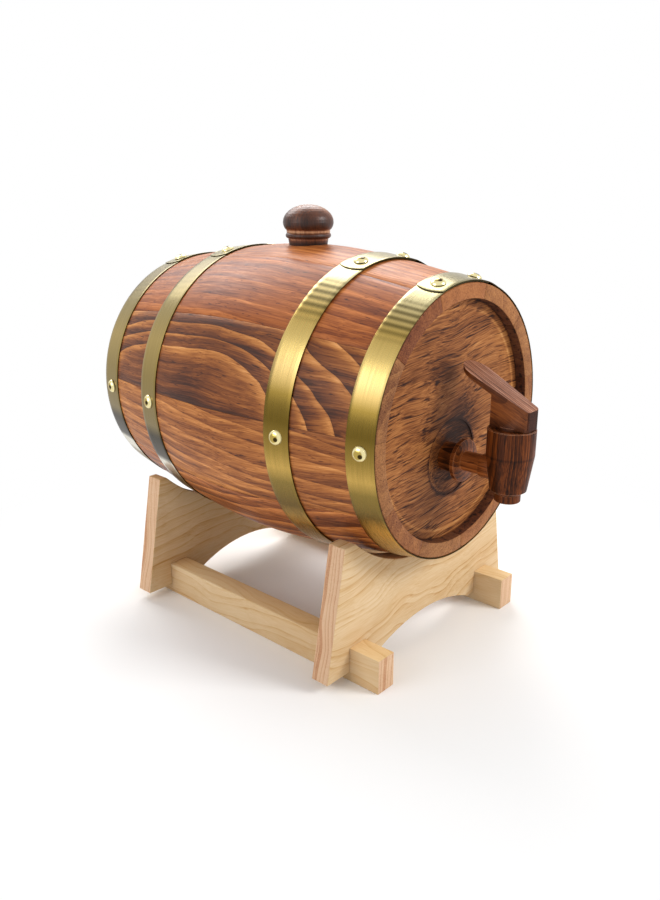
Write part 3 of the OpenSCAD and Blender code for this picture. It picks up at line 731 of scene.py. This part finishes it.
# Bands of colour round the strip, matched to the photograph's hoops: tarnish, and painted reflections of
# the light and dark that the metal mirrored there. The near-white beside near-black on the rear pair is a
# painted reflection.
front_brass = brass(
    "rolled_brass_strip_painted_reflections", "strip",
    [(-180, "#A8883F"), (-125, "#CCA85A"), (-118, "#806A38"), (-107, "#8E783E"), (-101, "#CCA85A"),
     (-94, "#A08440"), (-84, "#685420"), (-74, "#705C2A"), (-65, "#B89E68"), (-57, "#DCC078"),
     (-44, "#B09450"), (-24, "#C6BC90"), (-12, "#80764A"), (24, "#948450"), (60, "#B8964A"),
     (180, "#A8883F")],
    (0.20, 0.34), 0.014, waves=0.38)
rear_brass = brass(
    "rolled_brass_strip_tarnish_and_painted_reflections", "strip",
    [(-180, "#8C743A"), (-128, "#84703E"), (-124, "#F0ECDD"), (-118, "#F0ECDD"), (-116, "#14110A"),
     (-105, "#14110A"), (-100, "#887850"), (-80, "#94804A"), (-65, "#B0985C"), (-47, "#948558"),
     (-38, "#6A5F3A"), (-26, "#6A5F3A"), (-10, "#948C66"), (60, "#A8925A"), (180, "#8C743A")],
    (0.27, 0.33), 0.008, waves=0.10)
# The strip's cut edges are painted dark: painted shade, which reads with the gap beneath as one dark line.
brass_edge_painted_shade = brass("sheared_brass_edge_painted_shade", "Object", [(0, "#3A3016")], (0.45, 0.6), 0.02)

front_hoops = 2
hoop_middles = [(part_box(f"hoop_{k}")[0].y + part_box(f"hoop_{k}")[1].y) / 2 for k in (1, 2, 3, 4)]


def under_hoop(middle):
    """The cask's radius under a hoop's front edge and under its rear edge."""
    return [cask_radius(middle - cask_middle + side * hoop_width / 2) for side in (-1, 1)]


for k, middle in enumerate(hoop_middles, 1):
    front, rear = [radius + hoop_gap for radius in under_hoop(middle)]
    if front < rear:
        front += hoop_stand_off
    else:
        rear += hoop_stand_off
    strip = bpy.data.objects.new("strip", bpy.data.meshes.new("strip"))
    hoop_brass = front_brass if k <= front_hoops else rear_brass
    strip = bpy.data.objects.new("strip", grown(strip, hoops, {
        "Middle": middle, "Front radius": front, "Rear radius": rear, "Width": hoop_width,
        "Strip": hoop_strip + lap_gap, "Lap": lap_half, "Round": lap_round, "Climb from": lap_climb[0],
        "Climb to": lap_climb[1], "Axis height": axis_height, "Brass": hoop_brass}))
    strip.data.materials.append(brass_edge_painted_shade)
    scene.collection.objects.link(strip)
    modify(strip, "strip_thickness", "SOLIDIFY", thickness=hoop_strip, offset=1, use_even_offset=True,
           material_offset_rim=1)
    modify(strip, "rolled_edges", "BEVEL", width=edge_round, segments=2, limit_method="ANGLE")
    hoop_mesh = finished(strip)
    hoop_mesh.name = f"hoop_strip_{k}"
    hoop = piece(f"hoop_strip_{k}", hoop_mesh, "cask")
    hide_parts(f"hoop_{k}")


# ---- Nails ----
# Brass upholstery nails with pressed domed heads, driven through the hoops into the staves: two through each
# lap and one at each side.
nail_dome = 4.0 * mm
nail_height = 2.2 * mm
nail_brim = 0.25 * mm
nail_pin = 0.9 * mm
nail_depth = 1.2 * mm
nail_gap = 0.06 * mm
nail_flatness = 1.15
nail_lean = 0.05
nail_seed = 7
nail_angles = [math.radians(a) for a in (-90, -12.5, 12.5, 90)]
dome_steps = 9
nail_sides = 32

nail_profile = []
for i in range(dome_steps + 1):
    t = math.pi / 2 * i / dome_steps
    nail_profile.append((nail_dome * math.sin(t),
                         nail_brim + (nail_height - nail_brim) * math.cos(t) ** nail_flatness))
nail_profile += [(nail_dome * 1.02, nail_brim * 0.5), (nail_dome * 0.99, 0), (nail_pin, 0),
                 (nail_pin, -nail_depth)]


def lathe(mesh_name, profile, segments):
    """A closed turned mesh round Z from (radius, height) points, top first. The first is on the axis."""
    made = bmesh.new()
    rings = []
    for radius, height in profile:
        if radius == 0:
            rings.append([made.verts.new((0, 0, height))])
        else:
            rings.append([made.verts.new((radius * math.cos(t), radius * math.sin(t), height))
                          for t in [2 * math.pi * i / segments for i in range(segments)]])
    for a, b in zip(rings, rings[1:]):
        for i in range(segments):
            j = (i + 1) % segments
            corners = [a[i % len(a)], b[i % len(b)], b[j % len(b)], a[j % len(a)]]
            made.faces.new(list(dict.fromkeys(corners)))
    made.faces.new(rings[-1])
    bmesh.ops.recalc_face_normals(made, faces=made.faces)
    mesh = bpy.data.meshes.new(mesh_name)
    made.to_mesh(mesh)
    made.free()
    return mesh


nail_mesh = lathe("nail", nail_profile, nail_sides)
own_place = nail_mesh.attributes.new("own_place", "FLOAT_VECTOR", "POINT")
for point in nail_mesh.vertices:
    own_place.data[point.index].vector = point.co
nail_mesh.shade_smooth()
nail_mesh.set_sharp_from_angle(angle=math.radians(50))
nail = bpy.data.objects.new("nail", nail_mesh)
scene.collection.objects.link(nail)

driving, given = shaping_tree("drive_nails_square_to_the_hoop", "Nails", {
    "Places": "Geometry", "Nail": "Object", "Seed": "Int", "Lean": "Float", "Brass": "Material"})
out_of_hoop = add(driving, "GeometryNodeInputNamedAttribute", {"Name": "square_to"}, data_type="FLOAT_VECTOR")
least = add(driving, "ShaderNodeMath", {0: given["Lean"], 1: -1.0}, operation="MULTIPLY")
tilt = add(driving, "FunctionNodeRandomValue", {0: least, 1: given["Lean"], "Seed": given["Seed"]},
           data_type="FLOAT_VECTOR")
leaning = add(driving, "ShaderNodeVectorMath", {0: out_of_hoop, 1: tilt}, operation="ADD")
upright = add(driving, "FunctionNodeAlignRotationToVector", {"Vector": leaning}, axis="Z")
shape = add(driving, "GeometryNodeObjectInfo", {"Object": given["Nail"]})
driven = add(driving, "GeometryNodeInstanceOnPoints",
             {"Points": given["Places"], "Instance": shape.outputs["Geometry"], "Rotation": upright})
real = add(driving, "GeometryNodeRealizeInstances", {0: driven})
add(driving, "NodeGroupOutput",
    {0: add(driving, "GeometryNodeSetMaterial", {"Geometry": real, "Material": given["Brass"]})})

places, squares = [], []
for middle in hoop_middles:
    front, rear = under_hoop(middle)
    for angle in nail_angles:
        layers = 2 if abs(angle) < lap_half else 1
        radius = (front + rear) / 2 + hoop_gap + hoop_stand_off / 2 + layers * (hoop_strip + nail_gap)
        places.append((radius * math.sin(angle), middle, axis_height + radius * math.cos(angle)))
        squares.append((math.sin(angle), (front - rear) / hoop_width, math.cos(angle)))
nail_places = bpy.data.meshes.new("nail_places")
nail_places.from_pydata(places, [], [])
square_to = nail_places.attributes.new("square_to", "FLOAT_VECTOR", "POINT")
for i, way in enumerate(squares):
    square_to.data[i].vector = way
# Each dome is painted duller over its middle, with a dark spot towards the front: painted reflections.
nail_brass = brass("pressed_brass_nail_head", "own_place", [(0, "#EDE0A8")], (0.12, 0.2), 0.01,
                   reflection_spots=[((0, 0, nail_height), 2.9 * mm, "#B49C50"),
                            ((-0.4 * mm, -1.5 * mm, nail_height * 0.9), 1.4 * mm, "#3A2E14")])
nails_mesh = grown(bpy.data.objects.new("nail_places", nail_places), driving,
                   {"Nail": nail, "Seed": nail_seed, "Lean": nail_lean, "Brass": nail_brass})
bpy.data.objects.remove(nail)
nails_mesh.name = "hoop_nail_heads"
nails = piece("hoop_nail_heads", nails_mesh, "cask")
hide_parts("hoop_nails_1", "hoop_nails_2", "hoop_nails_3", "hoop_nails_4")


# ---- Bung ----
# A knob turned from dark wood on a tapered plug, in one piece, and driven into the bung hole. Rings round it
# are
# painted paler and darker: its paler top is a painted sheen, its darker foot on the stave is painted shade,
# and more paler and darker rings lie round its neck and dome. Heights here are in mm.
skin = (axis_height + bilge_radius) / mm
knob_sheen_shade_and_rings = [((0, 0, skin + height), from_level, 0, reach, depth)
              for height, reach, depth in ((7.2, 2.0, -0.46), (2.7, 1.2, -0.30), (4.8, 1.5, 0.12),
                                           (0.2, 1.2, 0.3), (12, 4.5, 0.16), (22.3, 6.5, -0.30))]
bung_wood = wood(
    "turned_dark_wood_polished",
    [(0.0, "#BA8A62"), (0.2, "#845033"), (0.4, "#5A311E"), (0.6, "#3C2015"), (0.8, "#28150E"),
     (1.0, "#190F0A")],
    place=(15, 0, 12), turn=(math.radians(90), 0, 0), year=3.0, ring_depth=0.14, sway=2.0,
    fibre_depth=0.30, cloud_depth=0.5, fleck=0.3, fleck_size=(0.7, 6), tone_and_painted_light_patches=knob_sheen_shade_and_rings, rough=(0.34, 0.46),
    relief=0.04, specular=0.4)
frame["nodes"]["bung"].data.materials.clear()
frame["nodes"]["bung"].data.materials.append(bung_wood)


# ---- Tap ----
# Body and shank are turned from red-brown wood with upright stripes, and the key is cut from the same wood:
# a lever that slopes up towards the head, on a tapered plug. The key's top is painted paler than its sides:
# painted light on its upward faces. Heights here are in mm.
tap_tones = [(0.0, "#98541E"), (0.25, "#6E3612"), (0.5, "#4A220B"), (0.75, "#2C1205"), (1.0, "#150702")]
shank_tones = [(0.0, "#CC7C3C"), (0.25, "#AC6230"), (0.5, "#8A4A20"), (0.75, "#5E2E12"), (1.0, "#32180A")]
worn_and_highlight_tones = [(0.0, "#D0A080"), (0.4, "#B07C5A"), (0.7, "#8E5A3C"), (1.0, "#683A24")]
key_top_painted_light_tones = [(0.0, "#D2A48A"), (0.25, "#B58064"), (0.5, "#915C42"), (0.75, "#603624"), (1.0, "#361A10")]
key_side_tones = [(0.0, "#AE6A34"), (0.3, "#8A4C22"), (0.6, "#5E3014"), (1.0, "#2E1408")]
key_end_tones = [(0.0, "#5A2E18"), (0.4, "#38190C"), (0.7, "#221007"), (1.0, "#120804")]
body_ease = 0.25 * mm
shank_ease = 0.35 * mm
key_ease = 0.4 * mm
ledge = tap_height + 9.5
block_foot = tap_height + 24
flange_face = (0, head_low.y / mm - 1.5, 0)
key_cut = {"place": (60, 0, -196), "turn": (math.radians(-26), 0, 0)}
shank_cut = {"place": (8, 0, -122), "year": 3.2, "sway": 2.0}
# The body is painted darker along a line at its ledge: painted shade under the step.
tap_wood = wood(
    "turned_red_brown_wood", tap_tones, place=(-100, 0, 220), turn=(math.radians(90), 0, 0),
    year=3.2, ring_depth=0.40, sway=1.6, fibre_depth=0.55, cloud_depth=0.50, fleck=0.35,
    fleck_size=(0.6, 8), tone_and_painted_light_patches=[((0, 0, ledge), from_level, 0, 1.2, 0.16)], rough=(0.34, 0.5),
    relief=0.05, specular=0.16)
# The shank is painted darker near the head and in a ring on the flange's face: painted shade.
shank_wood = wood(
    "turned_red_brown_wood_shank", shank_tones, **shank_cut, ring_depth=0.40, fleck_size=(0.7, 7),
    rough=(0.32, 0.48), relief=0.05, specular=0.16,
    tone_and_painted_light_patches=[(flange_face, from_face, 0, 5.0, 0.20), (tap_centre, from_line, 9.8, 5.0, 0.26)])
# Its eased edges are paler, a painted highlight, and darker near the head, painted shade behind the flange.
shank_edge = wood(
    "turned_red_brown_wood_bright_edge", [(0.0, "#E09A64"), (0.5, "#BC7646"), (1.0, "#8A4C2A")],
    **shank_cut, ring_depth=0.3, rough=(0.3, 0.4), relief=0.04,
    tone_and_painted_light_patches=[(flange_face, from_face, 0, 5.5, 0.8)])
# The key's sides are painted darker towards the block's foot: painted shade where it stands on the body.
key_wood = wood(
    "sawn_red_brown_wood_key_side", key_side_tones, **key_cut, year=3.4, ring_depth=0.20,
    sway=2.0, fibre_depth=0.45, cloud_depth=0.45, fleck=0.35, fleck_size=(0.5, 8),
    tone_and_painted_light_patches=[((0, 0, block_foot), from_level, 0, 9.0, 0.30)], rough=(0.4, 0.55), relief=0.06, specular=0.25)
# The key's top is paler than its sides: painted light on its upward face.
key_top_painted_light = wood(
    "sawn_red_brown_wood_key_top_painted_light", key_top_painted_light_tones, **key_cut, year=1.9, ring_depth=0.60, sway=0.8,
    fibre_depth=0.50, cloud_depth=0.22, fleck=0.35, fleck_size=(0.5, 9), rough=(0.4, 0.55), relief=0.08,
    specular=0.3)
key_end = wood(
    "sawn_red_brown_wood_key_end_grain", key_end_tones, **key_cut, year=2.4, ring_depth=0.3,
    sway=1.0, fibre_depth=0.5, rough=(0.5, 0.6), relief=0.05, specular=0.15)
# Eased edges are paler: wear, and a painted highlight along them.
worn_edge_and_highlight = wood(
    "red_brown_wood_worn_and_highlit_edge", worn_and_highlight_tones, **key_cut, year=3.4, ring_depth=0.3, sway=2.0,
    fibre_depth=0.5, rough=(0.35, 0.5), relief=0.04)
weld_reach = 0.002 * mm
flat_within = math.radians(0.4)
facing_cut = 0.8


def softened(node_name, piece_name, ease, material, eased_edge_material=None, cuts=()):
    """A copy of a part with its edges eased by hand, which replaces it. cuts are (outward way, material)."""
    made = bmesh.new()
    made.from_mesh(frame["nodes"][node_name].data)
    bmesh.ops.remove_doubles(made, verts=made.verts, dist=weld_reach)
    bmesh.ops.dissolve_limit(made, angle_limit=flat_within, verts=made.verts, edges=made.edges)
    source = bpy.data.objects.new(piece_name, bpy.data.meshes.new(piece_name))
    made.to_mesh(source.data)
    made.free()
    for finish in (material, eased_edge_material or material):
        source.data.materials.append(finish)
    scene.collection.objects.link(source)
    modify(source, "eased_edges", "BEVEL", width=ease, segments=3, limit_method="ANGLE",
           angle_limit=math.radians(38), material=1)
    mesh = finished(source)
    mesh.name = piece_name
    for number, (way, finish) in enumerate(cuts, 2):
        mesh.materials.append(finish)
        for face in mesh.polygons:
            if face.normal.dot(Vector(way)) > facing_cut:
                face.material_index = number
    mesh.shade_smooth()
    mesh.set_sharp_from_angle(angle=math.radians(35))
    shown = piece(piece_name, mesh, frame["nodes"][node_name]["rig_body"])
    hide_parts(node_name)


lever_slope = (0, -0.44, 0.90)
softened("tap_body", "tap_turned_body", body_ease, tap_wood, worn_edge_and_highlight)
softened("tap_shank", "tap_turned_shank", shank_ease, shank_wood, shank_edge)
softened("tap_key", "tap_lever_key", key_ease, key_wood, worn_edge_and_highlight,
         ((lever_slope, key_top_painted_light), ((0, -1, 0), key_end)))


# ---- Stand ----
# Two upright boards sawn from raw pine, notched over two rails that carry them. Pale wood with yellow
# summer rings, unfinished, with hand-eased edges.
pine_tones = [(0.0, "#DFC7A4"), (0.35, "#D5B88F"), (0.6, "#CBA779"), (0.8, "#BC9058"), (1.0, "#9E7039")]
late_wood_dark = ((0, 0.10), (0.5, 0.2), (0.82, 0.6), (0.93, 1.0), (1, 0.25))
stand_ease = 0.5 * mm
board_turn = (math.radians(9), math.radians(2), math.radians(90))
board_end_turn = (math.radians(3), math.radians(2), math.radians(90))
rail_turn = (math.radians(2), 0, math.radians(1))
board_pine = wood(
    "raw_pine_board", pine_tones, place=(0, 0, 16), turn=board_turn, year=3.6,
    profile=late_wood_dark, ring_depth=0.40, fibre_depth=0.40, cloud_depth=0.40, fleck=0.12,
    fleck_size=(0.7, 10), rough=(0.55, 0.7), relief=0.05, specular=0.2)
rail_pine = wood(
    "raw_pine_rail", pine_tones, place=(30, 0, 25), turn=rail_turn, year=4.0,
    profile=late_wood_dark, ring_depth=0.34, sway=4.5, fibre_depth=0.30, cloud_depth=0.34, fleck=0.12,
    fleck_size=(0.7, 10), rough=(0.55, 0.7), relief=0.05, specular=0.2)
# Sawn ends drink more light and show their summer rings as reddish lines.
pine_end_tones = [(0.0, "#DDBFA0"), (0.4, "#D2AC8A"), (0.7, "#BE8E6A"), (1.0, "#9E6A4A")]
pine_end = {"profile": late_wood_dark, "ring_depth": 0.55, "sway": 3.0, "cloud_depth": 0.2, "fleck": 0.1,
            "rough": (0.6, 0.75), "relief": 0.05, "specular": 0.15}
board_end = wood("raw_pine_board_end_grain", pine_end_tones, place=(400, 0, -50),
                 turn=board_end_turn, year=2.8, **pine_end)
rail_end = wood("raw_pine_rail_end_grain", pine_end_tones, place=(300, 0, -10), turn=rail_turn,
                year=3.2, **pine_end)
# The rails' tops are a little smoother and painted paler: painted light on the upward faces.
pine_top_painted_light_tones = [(0.0, "#F4DDB4"), (0.35, "#EDCE9E"), (0.6, "#E2BC86"), (0.8, "#D0A468"), (1.0, "#B0844A")]
rail_top_painted_light = wood(
    "raw_pine_rail_top_painted_light", pine_top_painted_light_tones, place=(30, 0, 25), turn=rail_turn, year=4.0,
    profile=late_wood_dark, ring_depth=0.25, sway=4.5, fibre_depth=0.25, fleck=0.1, rough=(0.5, 0.62),
    relief=0.04, specular=0.25)
for name, material, end, way in (("board_front", board_pine, board_end, (1, 0, 0)),
                                 ("board_rear", board_pine, board_end, (1, 0, 0)),
                                 ("rail_left", rail_pine, rail_end, (0, 1, 0)),
                                 ("rail_right", rail_pine, rail_end, (0, 1, 0))):
    cuts = [(way, end), ([-c for c in way], end)]
    if name.startswith("rail"):
        cuts.append(((0, 0, 1), rail_top_painted_light))
    softened(name, name + "_eased", stand_ease, material, cuts=cuts)
